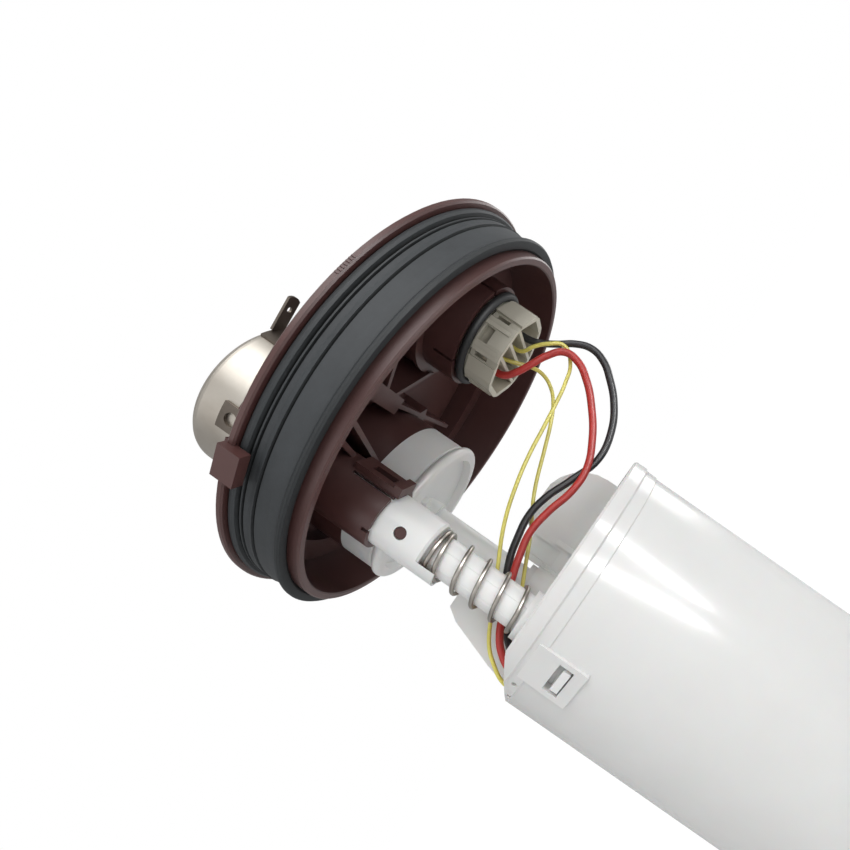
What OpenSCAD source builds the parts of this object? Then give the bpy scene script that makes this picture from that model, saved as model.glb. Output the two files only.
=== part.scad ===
// In-tank fuel pump module: a cover flange on a sprung column above a fuel reservoir.
// Millimetres, +Z up, origin at the centre of the reservoir's base.

/* [Reservoir] */
// Outer radius of the reservoir at its rim
res_r = 39; // [37:0.5:44]
// Height of the reservoir from its base to its rim
res_h = 118; // [118:1:130]
// Wall thickness of the reservoir
res_wall = 2; // [1.4:0.1:2.4]
// Draft of the reservoir's wall in degrees
res_draft = 0.8; // [0:0.1:1]
// Height of the reservoir's feet
foot_h = 4; // [3:0.5:5]

/* [Flange] */
// Distance from the reservoir's rim up to the flange skirt at full extension
ride_gap = 52; // [50:0.5:60]
// Travel of the flange along the column
travel = 18; // [10:1:20]
// Sideways offset of the flange axis along X
flange_x = 13.3; // [12:0.1:14]
// Sideways offset of the flange axis along Y
flange_y = 3.9; // [3:0.1:5]
// Outer radius of the skirt that enters the tank neck
skirt_r = 60; // [59:0.5:64]
// Wall thickness of the skirt
skirt_wall = 2.2; // [1.6:0.1:3]
// Height of the disc's underside above the skirt's lower edge
disc_z = 17.2; // [16:0.2:20]
// Overhang of the disc past the skirt
disc_over = 4.8; // [4:0.1:7]
// Thickness of the disc
disc_t = 1.8; // [1.6:0.1:3]
// Inset of the raised dome from the skirt's outer wall
dome_inset = 7.5; // [6:0.5:9]
// Height of the dome's ceiling above the skirt's lower edge
ceiling_z = 24.5; // [23:0.5:28]
// Thickness of the dome
dome_t = 2.5; // [1.8:0.1:3.5]

/* [Gasket] */
// Radial thickness of the rubber gasket at its wide band
gasket_t = 2.1; // [1.5:0.1:3]
// Height of the gasket's lower lip above the skirt's edge
gasket_z = 3; // [2:0.1:5]

/* [Filter can] */
// Radius of the steel filter can
can_r = 24.8; // [23:0.1:25.2]
// Height of the can's crown above the skirt's edge
can_top = 61; // [56:1:66]
// Sheet thickness of the can
can_t = 0.7; // [0.5:0.1:1]
// Height of the plastic collar round the can above the skirt's edge
collar_top = 45.5; // [38:0.5:47]
// Wall thickness of the collar
collar_t = 2; // [1.4:0.1:2.6]
// Inset of the white filter cap's bead from the can's radius
cap_inset = 0.4; // [0.2:0.1:1.2]
// Depth of the filter cap's face below the skirt's edge
cap_drop = 8; // [6:0.5:10]

/* [Column] */
// Radius of the column's head
head_r = 7.55; // [7.2:0.05:7.6]
// Radius of the column's rod
rod_r = 5.2; // [4.6:0.1:5.2]
// Depth of the column's shoulder below the skirt's edge
shoulder_z = 22.5; // [20:0.5:24]
// Diameter of the spring wire
spring_d = 1.2; // [0.9:0.1:1.2]
// Outer radius of the spring
spring_r = 6.6; // [6.6:0.05:6.8]
// Number of open turns of the spring
spring_turns = 4.2; // [3.4:0.2:6]

/* [Connector] */
// Outer radius of the connector turret
turret_r = 15.6; // [15:0.1:16]
// Radius of the ivory connector insert
insert_r = 13.1; // [12.6:0.1:13.3]
// Length of the insert below the skirt's edge
insert_drop = 6.3; // [4:0.1:9]

/* [Pump] */
// Radius of the pump's steel shell
pump_r = 18; // [17:0.5:18.5]
// Height of the pump's shell above the reservoir's floor
pump_lift = 12; // [10:1:16]

/* [Level sender] */
// Distance from the float arm's pivot to the float
arm_len = 48; // [40:1:50]

/* [Hidden] */
$fn = 96;

// Running clearance between sliding pieces, and the gap that parts soft pieces
run_gap = 0.1;
soft_gap = 0.3;
eps = 0.01;

// Heights in the row frame and places relative to the flange axis
skirt_z = res_h + ride_gap;
cap_x = -22.8;
cap_y = 2.5;
col_x = -24.9;
col_y = -31;
turret_x = 30.9;
turret_y = -13;
tube_x = cap_x;
tube_y = cap_y;

// Reservoir inside
res_floor = 2;
floor_top = foot_h + res_floor;
plate_t = 3;
plate_z = res_h - 14;
carrier_r = res_r - res_wall - 0.4;
seat_z = res_h + 1.5;
sleeve_low = seat_z - 30;
pump_x = 14;
pump_y = 7.5;
pump_top = plate_z - 26;
pump_z = floor_top + pump_lift;
duct_z = pump_top + 14;
duct_r = 3.6;
duct_bore = 2;
nipple_dx = -8;
pump_gap = 0.4;

// Flange inside
disc_r = skirt_r + disc_over;
skirt_in = skirt_r - skirt_wall;
dome_r = skirt_r - dome_inset;
dome_in = dome_r - dome_t;
dome_top = ceiling_z + dome_t;
can_gap = 0.2;
holder_in = can_r + can_gap;
holder_r = holder_in + collar_t;
holder_low = 22;
can_low = 26;
cap_wall = 2;
cap_body_r = can_r - can_t - 0.7;
cap_high = can_low;
neck_low = 6.2;
cap_r = can_r - cap_inset;
neck_in = cap_body_r - 1.6;
plug_r = neck_in - 0.7;
socket_gap = 0.2;
socket_r = head_r + socket_gap + 1.2;
socket_low = -8.6;
peg_z = -15.2;
peg_r = 1.5;
core_r = 5;
turret_wall = 1.7;
turret_low = 5;
collar_z = 15;
tube_r = 4.2;
tube_bore = 2.8;
sleeve_wall = 1.6;

// Sender
pad_y = res_r + 1;
sender_w = 26;
sender_z0 = 60;
sender_z1 = 103;
sender_t = 7;
pivot_z = 82;
arm_y = pad_y + sender_t + 4;

// Routes of the four wires in the row frame, from the connector to the reservoir
red_route = [[37.6, -9.6, 167.2], [37.9, -10.2, 163.6], [40.5, -11.5, 160.6], [44.5, -12.3, 158.2], [49, -12.6, 155.8],
    [52.6, -13, 152.2], [52.6, -13, 147.8], [49.5, -13.5, 142.5], [43.5, -13.5, 136.5], [36.5, -14, 131.5],
    [28.5, -14.3, 128], [21.5, -14.6, 127.8], [12.5, -15, 130], [5, -15.5, 130.8], [-1.5, -16, 129.5],
    [-8, -16.5, 127.5], [-16, -17, 124.5], [-22.5, -18.5, 121], [-25.6, -19.5, 117.5], [-27.5, -20, 113.6],
    [-29, -20.4, 110.6], [-29, -20.3, 107.5], [-28.5, -19, 103], [-25, -16, 100.2], [-18, -10.5, 98.5], [-8, -6.5, 98],
    [2, -4.8, 98], [10, -3.4, 98], [14.5, -2, 96.5], [15.5, -1.8, 93]];
black_route = [[50.8, -9.1, 167.2], [50.9, -9.2, 163.6], [51.8, -9.5, 160.4], [54.2, -9.8, 156], [57.2, -10, 151.5],
    [58.6, -10.2, 147], [57.4, -10.6, 142], [54, -11, 137.4], [48.8, -11, 132.4], [41.5, -11.3, 128.4],
    [33, -11.6, 127], [24, -12.2, 129.8], [15.5, -12.7, 133], [9, -13, 134], [2, -13.4, 133], [-5, -13.8, 131],
    [-13, -14.1, 126.5], [-23, -14.6, 118.4], [-27, -15, 111], [-28, -14.5, 105], [-26, -10, 100.5], [-16, -5, 101],
    [-8, -2.5, 101], [2, -0.5, 101], [10, 0, 100.5], [17.5, -1, 98], [19.5, -1.8, 93]];
yellow_a_route = [[46.4, -9.1, 167.2], [46.8, -9.5, 163.4], [49.5, -11.2, 160.8], [52.2, -12.3, 157.5],
    [54.5, -11.5, 153.5], [51.8, -10.6, 149.6], [45.5, -12.2, 147], [38.5, -14, 145.5], [31.5, -15, 144.4],
    [23, -16, 143.2], [14, -17, 141.2], [3.5, -17.5, 137.8], [-8, -18, 132], [-18, -18.2, 126.8], [-26, -18, 122],
    [-29, -18, 118.4], [-31.4, -17.5, 114.3], [-32, -16.5, 109.5], [-31.8, -14.5, 104], [-31, -9, 99],
    [-31, 3, 98], [-24, 20, 98], [-11, 32, 98.5], [-4.6, 36, 99.5],
    [-4.6, 40.1, 99.5]];
yellow_b_route = [[42, -9.1, 167.2], [43.2, -8.5, 163.2], [45, -7, 159.2], [45.3, -6.6, 155.4], [43, -7, 150.5],
    [39, -7.5, 147], [34.2, -8, 144.5], [28, -8.5, 142], [15, -9.5, 136.8], [4, -10.5, 130.5], [-6, -12, 125.5],
    [-15, -13.2, 120.5], [-22, -13.3, 114.5], [-23, -13.3, 108], [-23.2, -13.4, 104], [-24.8, -9.4, 96.4], [-28, 3, 95],
    [-22, 18, 94.5], [-5, 30.5, 96], [-2.8, 36.5, 99.2], [-2.8, 40.1, 99.5]];
thick_wire_d = 2.2;
thin_wire_d = 1.2;

// Unit vector, and a vector square to a direction
function unit(v) = v / norm(v);
function across(t) = unit(cross(t, abs(t[1]) < 0.9 ? [0, 1, 0] : [1, 0, 0]));

// Direction of a path at point i
function heading(path, i) = unit(path[min(i + 1, len(path) - 1)] - path[max(i - 1, 0)]);

// Side vectors carried along a path without twist
function carried(path, i = 0, u = [1, 0, 0], done = []) =
    i == len(path) ? done :
    let (t = heading(path, i), v = i == 0 ? across(t) : unit(u - t * (u * t)))
    carried(path, i + 1, v, concat(done, [[v, cross(t, v)]]));

// Round tube along a list of points, as one closed polyhedron
module swept_tube(path, r, sides) {
    side = carried(path);
    n = len(path);
    rings = [for (i = [0:n - 1], k = [0:sides - 1])
        path[i] + r * (cos(360 * k / sides) * side[i][0] + sin(360 * k / sides) * side[i][1])];
    walls = [for (i = [0:n - 2], k = [0:sides - 1])
        [i * sides + k, (i + 1) * sides + k, (i + 1) * sides + (k + 1) % sides, i * sides + (k + 1) % sides]];
    ends = [[for (k = [0:sides - 1]) k], [for (k = [sides - 1:-1:0]) (n - 1) * sides + k]];
    polyhedron(points = rings, faces = concat(walls, ends), convexity = 8);
}

// Plain ring between two radii and two heights
module ring(r_out, r_in, z0, z1) {
    rotate_extrude() polygon([[r_in, z0], [r_out, z0], [r_out, z1], [r_in, z1]]);
}

// Disc or rod between two heights
module rod(r, z0, z1) {
    translate([0, 0, z0]) cylinder(r = r, h = z1 - z0);
}

// O-ring of a section radius on a centre radius
module o_ring(r, section, z) {
    translate([0, 0, z]) rotate_extrude() translate([r, 0]) circle(r = section, $fn = 24);
}

// Block by its lowest and highest corners
module block(low, high) {
    translate(low) cube(high - low);
}

// Frame of the flange: its axis, at the lower edge of the skirt
module on_flange() {
    translate([flange_x, flange_y, skirt_z]) children();
}

module on_column() {
    on_flange() translate([col_x, col_y, 0]) children();
}

module on_can() {
    on_flange() translate([cap_x, cap_y, 0]) children();
}

module on_turret() {
    on_flange() translate([turret_x, turret_y, 0]) children();
}

module on_tube() {
    on_flange() translate([tube_x, tube_y, 0]) children();
}

module on_pump() {
    translate([pump_x, pump_y, 0]) children();
}

// Outer radius of the reservoir's wall at a height
function wall_r(z) = res_r - (res_h - z) * tan(res_draft);

// Reservoir: drafted pot with a banded rim, snap windows, inlet holes, feet and the sender's pad
rim_band = 4.5;
latch_w = 12;
latch_h = 13.5;
window_w = 9;
window_h = 4;
window_z = res_h - 16;
latch_out = 0.4;
latch_angles = [242, 48, 138];
rim_fall_x = -20;
rim_fall = 0.5;
wire_holes = [[227, res_h - 6.4], [216, res_h - 7.2]];

module pot_outline() {
    rotate_extrude() polygon([[0, foot_h], [wall_r(foot_h) - 1.5, foot_h], [wall_r(foot_h), foot_h + 1.5],
        [wall_r(res_h - rim_band - 3.5), res_h - rim_band - 3.5],
        [wall_r(res_h - rim_band - 3.5) + 0.35, res_h - rim_band - 3.2], [res_r + 0.35, res_h - rim_band],
        [res_r + 0.9, res_h - rim_band + 0.5], [res_r + 0.9, res_h - 0.6], [res_r + 0.3, res_h], [0, res_h]]);
}

module pot_hollow() {
    rotate_extrude() polygon([[0, floor_top], [wall_r(floor_top) - res_wall - 1, floor_top],
        [wall_r(floor_top + 1) - res_wall, floor_top + 1], [res_r - res_wall, res_h], [res_r - res_wall, res_h + 1],
        [0, res_h + 1]]);
}

module reservoir_pot() {
    valve_hole = 2.2;
    inlet_ring = 4.6;
    color([0.93, 0.93, 0.91]) difference() {
        union() {
            pot_outline();
            for (a = latch_angles) rotate(a)
                block([res_r - 3, -latch_w / 2, window_z - 3],
                    [res_r + latch_out, latch_w / 2, window_z - 3 + latch_h]);
            block([-sender_w / 2 + 2, res_r - 4, sender_z0 - 2], [sender_w / 2 - 2, pad_y, sender_z1 + 2]);
            for (a = [45:90:315]) rotate(a)
                intersection() {
                    ring(wall_r(0) - 1, wall_r(0) - 5, 0, foot_h + eps);
                    block([0, -9, 0], [res_r, 9, foot_h + 1]);
                }
        }
        pot_hollow();
        for (a = latch_angles) rotate(a)
            block([res_r - 6, -window_w / 2, window_z], [res_r + 3, window_w / 2, window_z + window_h]);
        translate([rim_fall_x, 0, res_h]) rotate([0, -atan(rim_fall), 0]) block([-60, -50, 0], [0, 50, 30]);
        for (h = wire_holes) rotate(h[0]) translate([res_r - 4, 0, h[1]]) rotate([0, 90, 0]) rod(0.8, 0, 8);
        rod(1.7, 0, floor_top + 1);
        for (a = [0:72:288]) rotate(a) translate([inlet_ring, 0, 0]) rod(valve_hole - 0.8, 0, floor_top + 1);
        translate([-4, 0, 99.5]) rotate([-90, 0, 0]) rod(2.4, res_r - res_wall - 3, pad_y + 2);
    }
}

// Pump carrier: cover plate in the reservoir's mouth, guide sleeves, pump cage, stepped head tower and wedge tower
tower_y0 = 6;
tower_y1 = 23;
tower_wall = 1.8;
wedge_y0 = -12.2;
wedge_y1 = -2;
guide_wall = 1.6;

module tower_profile() {
    shoulder = 15;
    top = res_h + 18.5;
    polygon(concat([[-3.2, plate_z], [-3.2, res_h + 12.5], [5.8, res_h + 13.5], [5.8, top]],
        [for (a = [75:-15:0]) [31.6 - shoulder + shoulder * cos(a), top - shoulder + shoulder * sin(a)]],
        [[31.6, plate_z]]));
}

module head_tower() {
    intersection() {
        difference() {
            union() {
                translate([0, tower_y1, 0]) rotate([90, 0, 0]) linear_extrude(tower_y1 - tower_y0) tower_profile();
                for (x = [-3.2, 5.8]) block([x, tower_y0 - 1.2, plate_z], [x + 1.6, tower_y0 + eps, res_h + 6]);
            }
            block([-1.4, tower_y0 + tower_wall, plate_z - 1], [5.2, tower_y1 - tower_wall, res_h + 11.5]);
            block([7, tower_y0 + tower_wall, plate_z - 1], [28.5, tower_y1 - tower_wall, res_h + 5]);
            block([-1.2, tower_y0 - 1, res_h + 3], [4.6, tower_y0 + 0.8, res_h + 14]);
        }
        rod(carrier_r - 0.8, plate_z - 2, res_h + 40);
    }
}

module wedge_tower() {
    outer = [[-34.2, plate_z], [-34.2, res_h - 7.5], [-31.9, res_h + 1.7], [-27.2, res_h + 16],
        [-24.6, res_h + 19.8], [-15, res_h + 19.8], [-15, plate_z]];
    translate([0, wedge_y1, 0]) rotate([90, 0, 0]) linear_extrude(wedge_y1 - wedge_y0) polygon(outer);
}

module wedge_hollow() {
    inner = [[-32, plate_z - 1], [-32, res_h - 7.5], [-29.8, res_h + 1.7], [-25.3, res_h + 15.4],
        [-23.8, res_h + 18], [-16.8, res_h + 18], [-16.8, plate_z - 1]];
    translate([0, wedge_y1 - tower_wall, 0]) rotate([90, 0, 0])
        linear_extrude(wedge_y1 - wedge_y0 - 2 * tower_wall) polygon(inner);
}

// Duct from the pump's outlet to the delivery sleeve
duct_from = [pump_x + nipple_dx, pump_y];
duct_to = [flange_x + tube_x, flange_y + tube_y];
duct_len = norm(duct_from - duct_to);
duct_turn = atan2(duct_from[1] - duct_to[1], duct_from[0] - duct_to[0]);
grommet_r = 5;

module outlet_duct() {
    translate([duct_to[0], duct_to[1], duct_z]) rotate(duct_turn) rotate([0, 90, 0]) rod(duct_r, 0, duct_len + 3);
    translate([duct_from[0], duct_from[1], 0]) {
        rod(grommet_r + 1.6, pump_top + 7.4, duct_z + 1);
        rod(duct_r - 0.8, duct_z, plate_z + eps);
    }
}

module duct_passage() {
    translate([duct_to[0], duct_to[1], duct_z]) rotate(duct_turn) rotate([0, 90, 0]) rod(duct_bore, 0, duct_len);
    translate([duct_from[0], duct_from[1], 0]) {
        rod(grommet_r, pump_top + 6, duct_z - 2.8);
        rod(duct_bore - 0.3, pump_top + 6, duct_z);
    }
}

module pump_carrier() {
    guide_r = rod_r + run_gap + guide_wall;
    cage_r = pump_r + pump_gap;
    tube_sleeve = tube_r + run_gap + sleeve_wall;
    color([0.9, 0.9, 0.89]) difference() {
        union() {
            rod(carrier_r, plate_z, plate_z + plate_t);
            ring(carrier_r, carrier_r - 1.8, plate_z - 3, plate_z + plate_t);
            for (a = latch_angles) rotate(a) {
                block([carrier_r - 2.4, -3.5, window_z - 3], [carrier_r - 0.3, 3.5, plate_z + 1]);
                block([carrier_r - 1, -3.5, window_z + 0.4], [res_r + 0.3, 3.5, window_z + 2.4]);
            }
            intersection() {
                on_pump() ring(cage_r + 1.8, cage_r, pump_z + 24, plate_z + eps);
                rod(wall_r(pump_z) - res_wall - soft_gap, 0, res_h);
            }
            translate([flange_x + col_x, flange_y + col_y, 0]) {
                rod(guide_r, sleeve_low, seat_z);
                rod(spring_r + 0.3, seat_z - 2.5, seat_z);
                for (a = [0, 90, 180]) rotate(a) block([0, -0.8, plate_z], [guide_r + 2.2, 0.8, seat_z - 4]);
            }
            translate([flange_x + tube_x, flange_y + tube_y, 0]) {
                rod(tube_sleeve, duct_z - duct_r - 1, res_h + 8);
                rod(tube_sleeve + 1.3, plate_z, res_h + 6);
            }
            outlet_duct();
            head_tower();
            wedge_tower();
        }
        wedge_hollow();
        translate([flange_x + col_x, flange_y + col_y, 0]) rod(rod_r + run_gap, sleeve_low - 1, seat_z + 1);
        translate([flange_x + tube_x, flange_y + tube_y, 0])
            rod(tube_r + run_gap, duct_z - duct_bore, res_h + 9);
        duct_passage();
        on_pump() rotate(213) block([pump_r - 1, -6, pump_top + 15], [pump_r + 4, 6, plate_z - 1]);
        block([-35, -23.5, plate_z - 4], [-20, wedge_y0, plate_z + plate_t + 1]);
    }
}

// Inlet strainer between the feet, and the umbrella valve over the inlet holes
module inlet_strainer() {
    color([0.86, 0.86, 0.84]) difference() {
        rod(24, 0, foot_h - 0.05);
        rod(2.6, foot_h - 1.6, foot_h + 1);
    }
}

module inlet_valve() {
    color([0.15, 0.15, 0.15]) {
        rotate_extrude() polygon([[0, foot_h - 1.2], [2.2, foot_h - 1.2], [2.2, foot_h - 0.1], [1.6, foot_h - 0.1],
            [1.6, floor_top + 0.1], [7, floor_top + 0.1], [6.6, floor_top + 1], [2, floor_top + 2.2],
            [0, floor_top + 2.4]]);
    }
}

// Jet nozzle that lifts fuel into the reservoir
module jet_nozzle() {
    color([0.2, 0.2, 0.22]) translate([-18, 12, floor_top + 0.1]) difference() {
        union() {
            rod(5, 0, 9);
            translate([0, 0, 5]) rotate([0, 90, 0]) rod(2.6, 0, 13);
            rod(2.8, 9, 20);
        }
        rod(1.4, 3, 21);
        translate([0, 0, 5]) rotate([0, 90, 0]) rod(1.2, -1, 14);
    }
}

// Rubber cup that holds the pump's inlet end on the reservoir's floor
module pump_isolator() {
    color([0.13, 0.13, 0.13]) on_pump() difference() {
        union() {
            rod(pump_r + 0.6, pump_z - 3.5, pump_z + 4);
            rod(9, floor_top + 0.1, pump_z - 3);
        }
        rod(pump_r + 0.1, pump_z - 2, pump_z + 5);
        rod(5, floor_top - 1, pump_z);
    }
}

// Electric pump: shell, ends, magnets, brushes and plug
pump_wall = 1.2;

module pump_shell() {
    color([0.75, 0.76, 0.78]) on_pump() {
        rotate_extrude() polygon([[pump_r - pump_wall, pump_z + 4.5], [pump_r, pump_z + 4.5],
            [pump_r, pump_top - 1.5], [pump_r - 1.5, pump_top], [pump_r - 3.2, pump_top],
            [pump_r - 3.2, pump_top - pump_wall], [pump_r - pump_wall - 0.9, pump_top - pump_wall],
            [pump_r - pump_wall, pump_top - pump_wall - 0.9]]);
    }
}

module pump_inlet_cover() {
    color([0.8, 0.8, 0.82]) on_pump() difference() {
        union() {
            rod(pump_r - 0.1, pump_z - 1.9, pump_z + 4.3);
            rod(pump_r - pump_wall - 0.1, pump_z + 4.2, pump_z + 8);
            rod(4.6, pump_z - 7, pump_z - 1.8);
        }
        rod(3, pump_z - 8, pump_z + 3);
        rod(14.6, pump_z + 5, pump_z + 9);
        rod(1.65, pump_z + 3.5, pump_z + 9);
        translate([10, 0, 0]) rod(2.4, pump_z + 3, pump_z + 9);
        block([-1, -2.4, pump_z + 1], [11, 2.4, pump_z + 3.6]);
    }
}

module pump_outlet_cap() {
    color([0.12, 0.12, 0.13]) on_pump() difference() {
        union() {
            rod(pump_r - pump_wall - 0.2, pump_top - 11, pump_top - pump_wall - 1.1);
            rod(pump_r - 3.4, pump_top - 8, pump_top + 6);
            translate([nipple_dx, 0, 0]) rod(3.2, pump_top + 5, duct_z - 3);
        }
        rod(5.6, pump_top - 12, pump_top - 1);
        rod(1.65, pump_top - 2, pump_top + 2);
        translate([nipple_dx, 0, 0]) rod(2, pump_top - 2, duct_z);
        for (s = [-1, 1]) translate([s * 6.6, 0, 0]) block([-1.6, -2.5, pump_top - 12], [1.5, 2.5, pump_top - 0.9]);
    }
}

module pump_magnets() {
    color([0.3, 0.3, 0.32]) on_pump() difference() {
        ring(pump_r - pump_wall - 0.1, 13, pump_z + 20, pump_top - 18);
        block([-pump_r, -2.5, 0], [pump_r, 2.5, pump_top]);
    }
}

module pump_brushes() {
    color([0.2, 0.2, 0.2]) on_pump() for (s = [-1, 1])
        translate([s * 6.6, 0, 0]) block([-1.4, -2.4, pump_top - 8], [1.4, 2.4, pump_top - 1]);
}

module pump_plug() {
    color([0.9, 0.88, 0.8]) translate([pump_x - 2, pump_y - 12.5, pump_top + 6.05]) difference() {
        block([0, 0, 0], [12, 7, 9]);
        block([1.5, 1.5, 6], [10.5, 5.5, 10]);
    }
}

// Rotor of the pump
module pump_shaft() {
    color([0.82, 0.82, 0.84]) on_pump() rod(1.6, pump_z + 4, pump_top + 1.5);
}

module pump_armature() {
    slots = 8;
    color([0.5, 0.35, 0.2]) on_pump() difference() {
        rod(12.3, pump_z + 22, pump_top - 20);
        rod(1.6 + eps, 0, pump_top);
        for (k = [0:slots - 1]) rotate(360 * k / slots) {
            block([8.5, -0.7, pump_z], [14, 0.7, pump_top]);
            translate([8.2, 0, 0]) rod(1.8, pump_z, pump_top);
        }
    }
}

module pump_commutator() {
    bars = 8;
    color([0.75, 0.45, 0.2]) on_pump() difference() {
        rod(5, pump_top - 17, pump_top - 1.5);
        rod(1.6 + eps, 0, pump_top);
        for (k = [0:bars - 1]) rotate(360 * (k + 0.5) / bars)
            block([4.4, -0.25, pump_top - 15], [6, 0.25, pump_top]);
    }
}

module pump_impeller() {
    vanes = 24;
    color([0.15, 0.15, 0.16]) on_pump() difference() {
        rod(14.4, pump_z + 5.2, pump_z + 7.8);
        rod(1.6 + eps, 0, pump_top);
        for (k = [0:vanes - 1]) rotate(360 * k / vanes)
            block([11.8, -0.9, pump_z], [15, 0.9, pump_top]);
    }
}

// Rubber grommet between the pump's outlet and the carrier's duct
module outlet_grommet() {
    color([0.12, 0.12, 0.12]) translate([pump_x + nipple_dx, pump_y, 0])
        ring(grommet_r - 0.02, 3.22, pump_top + 7.4, duct_z - 2.9);
}

// Level sender on the pad at the back of the reservoir
module sender_body() {
    y0 = pad_y + 0.05;
    y1 = y0 + sender_t;
    color([0.88, 0.88, 0.86]) difference() {
        union() {
            block([-sender_w / 2, y0, sender_z0], [sender_w / 2, y1, sender_z1]);
            translate([0, y0, pivot_z]) rotate([-90, 0, 0]) rod(2, 1, sender_t + 6);
        }
        difference() {
            block([-sender_w / 2 + 1.6, y0 + 1.6, sender_z0 + 1.6], [sender_w / 2 - 1.6, y1 + 1, sender_z1 - 12]);
            translate([0, y0, pivot_z]) rotate([-90, 0, 0]) rod(2, 0, sender_t + 6);
        }
        translate([-4, 0, 99.5]) rotate([-90, 0, 0]) rod(2.2, y0 - 1, y1 - 2);
    }
}

module sender_card() {
    y0 = pad_y + 0.05 + 1.6;
    color([0.16, 0.3, 0.3]) difference() {
        block([-sender_w / 2 + 2, y0 + 0.05, sender_z0 + 2], [sender_w / 2 - 2, y0 + 0.9, sender_z1 - 12.4]);
        translate([0, 0, pivot_z]) rotate([-90, 0, 0]) rod(2.6, y0 - 1, y0 + 3);
    }
}

module sender_wiper() {
    y0 = pad_y + sender_t;
    color([0.9, 0.89, 0.85]) difference() {
        union() {
            translate([0, 0, pivot_z]) rotate([-90, 0, 0]) rod(5.5, y0 - 3.5, y0 + 6);
            block([-2.2, y0 + 1, pivot_z - 12], [2.2, y0 + 6, pivot_z]);
        }
        translate([0, 0, pivot_z]) rotate([-90, 0, 0]) rod(2.05, y0 - 4, y0 + 7);
        translate([0, arm_y, 0]) rod(1.15, pivot_z - 13, pivot_z - 5.9);
    }
}

module float_arm() {
    color([0.8, 0.8, 0.82]) translate([0, arm_y, 0]) rod(1.1, pivot_z - arm_len - 4, pivot_z - 6);
}

module float() {
    half = [15, 6.5, 7];
    color([0.12, 0.12, 0.12]) translate([0, arm_y, pivot_z - arm_len - 5]) difference() {
        translate([0, half[1], 0]) rotate([90, 0, 0]) linear_extrude(2 * half[1])
            polygon([[-half[0] + 3, -half[2]], [half[0] - 3, -half[2]], [half[0], -half[2] + 3],
                [half[0], half[2] - 3], [half[0] - 3, half[2]], [-half[0] + 3, half[2]],
                [-half[0], half[2] - 3], [-half[0], -half[2] + 3]]);
        rod(1.12, 0.9, half[2] + 1);
    }
}

// Cover flange: skirt, disc, dome, can holder, column socket, connector turret, ribs, lug, plug shroud and outlet
lug_angle = 243;
notch_angle = 254.5;
rib_t = 1.4;
rib_low = 14;
nipple_r = 3.945;
nipple_z = 9;
nipple_x = 8;
nipple_y = 30;
turret_slits = [37, 127, 217, 307];
contact_x = [-6.6, -2.2, 2.2, 6.6];

module flange_shell() {
    rotate_extrude() polygon([[skirt_in, 0.4], [skirt_in + 0.4, 0], [skirt_r - 0.4, 0], [skirt_r, 0.4],
        [skirt_r, disc_z], [disc_r - 0.4, disc_z], [disc_r, disc_z + 0.4], [disc_r, disc_z + disc_t - 0.4],
        [disc_r - 0.4, disc_z + disc_t], [dome_r, disc_z + disc_t], [dome_r, dome_top - 1], [dome_r - 1, dome_top],
        [0, dome_top], [0, ceiling_z], [dome_in, ceiling_z], [dome_in, disc_z], [skirt_in, disc_z]]);
}

module radial_rib(angle, r0, r1, z0) {
    rotate(angle) block([r0, -rib_t / 2, z0], [r1, rib_t / 2, ceiling_z + eps]);
}

module can_holder() {
    ring(holder_r, holder_in, holder_low, collar_top);
    ring(holder_r, neck_in, holder_low, can_low - 0.5);
    ring(cap_body_r, neck_in, neck_low, holder_low + 1);
}

module socket_tube() {
    ring(socket_r, head_r + socket_gap, socket_low, ceiling_z);
    rotate(-22) block([socket_r - 1, -3.4, socket_low - 1], [socket_r + 1, 3.4, 4]);
    rotate(-22) block([socket_r - 0.4, -3.4, socket_low - 1], [socket_r + 1.9, 3.4, socket_low + 1.2]);
}

module socket_core() {
    rod(core_r, peg_z - 2.4, ceiling_z);
    rotate(-90) translate([0, 0, peg_z]) rotate([0, 90, 0]) rod(peg_r, 0, head_r - 0.5);
}

module turret() {
    ring(turret_r, turret_r - turret_wall, turret_low, ceiling_z);
    ring(turret_r + 2.2, turret_r - turret_wall, collar_z, ceiling_z);
    ring(turret_r + 2.9, turret_r + 1, collar_z, collar_z + 1.4);
}

module plug_shroud() {
    top = dome_top + 12;
    color([0.29, 0.17, 0.16]) on_turret() difference() {
        translate([0, 0, dome_top]) linear_extrude(top - dome_top) union() {
            translate([-6, 0]) circle(r = 9.5);
            translate([6, 0]) circle(r = 9.5);
            translate([-6, -9.5]) square([12, 19]);
            translate([-4, 9]) square([8, 3]);
        }
        translate([0, 0, dome_top - 2]) linear_extrude(top - dome_top + 3) union() {
            translate([-6, 0]) circle(r = 7.8);
            translate([6, 0]) circle(r = 7.8);
            translate([-6, -7.8]) square([12, 15.6]);
        }
    }
}

module outlet_nipple() {
    color([0.29, 0.17, 0.16]) on_flange() translate([nipple_x, nipple_y, 0]) difference() {
        union() {
            rod(6.2, dome_top, dome_top + 3);
            rod(nipple_r + 1, dome_top, dome_top + nipple_z + nipple_r + 1);
            translate([0, 0, dome_top + nipple_z]) rotate([-90, 0, 0]) {
                rod(nipple_r, 0, 30);
                rod(nipple_r + 0.95, 20.5, 22.5);
                rod(nipple_r + 0.95, 0, 6);
            }
        }
        rod(2.6, dome_top + 2, dome_top + nipple_z + 2.6);
        translate([0, 0, dome_top + nipple_z]) rotate([-90, 0, 0]) rod(2.6, 0, 31);
    }
}

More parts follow.
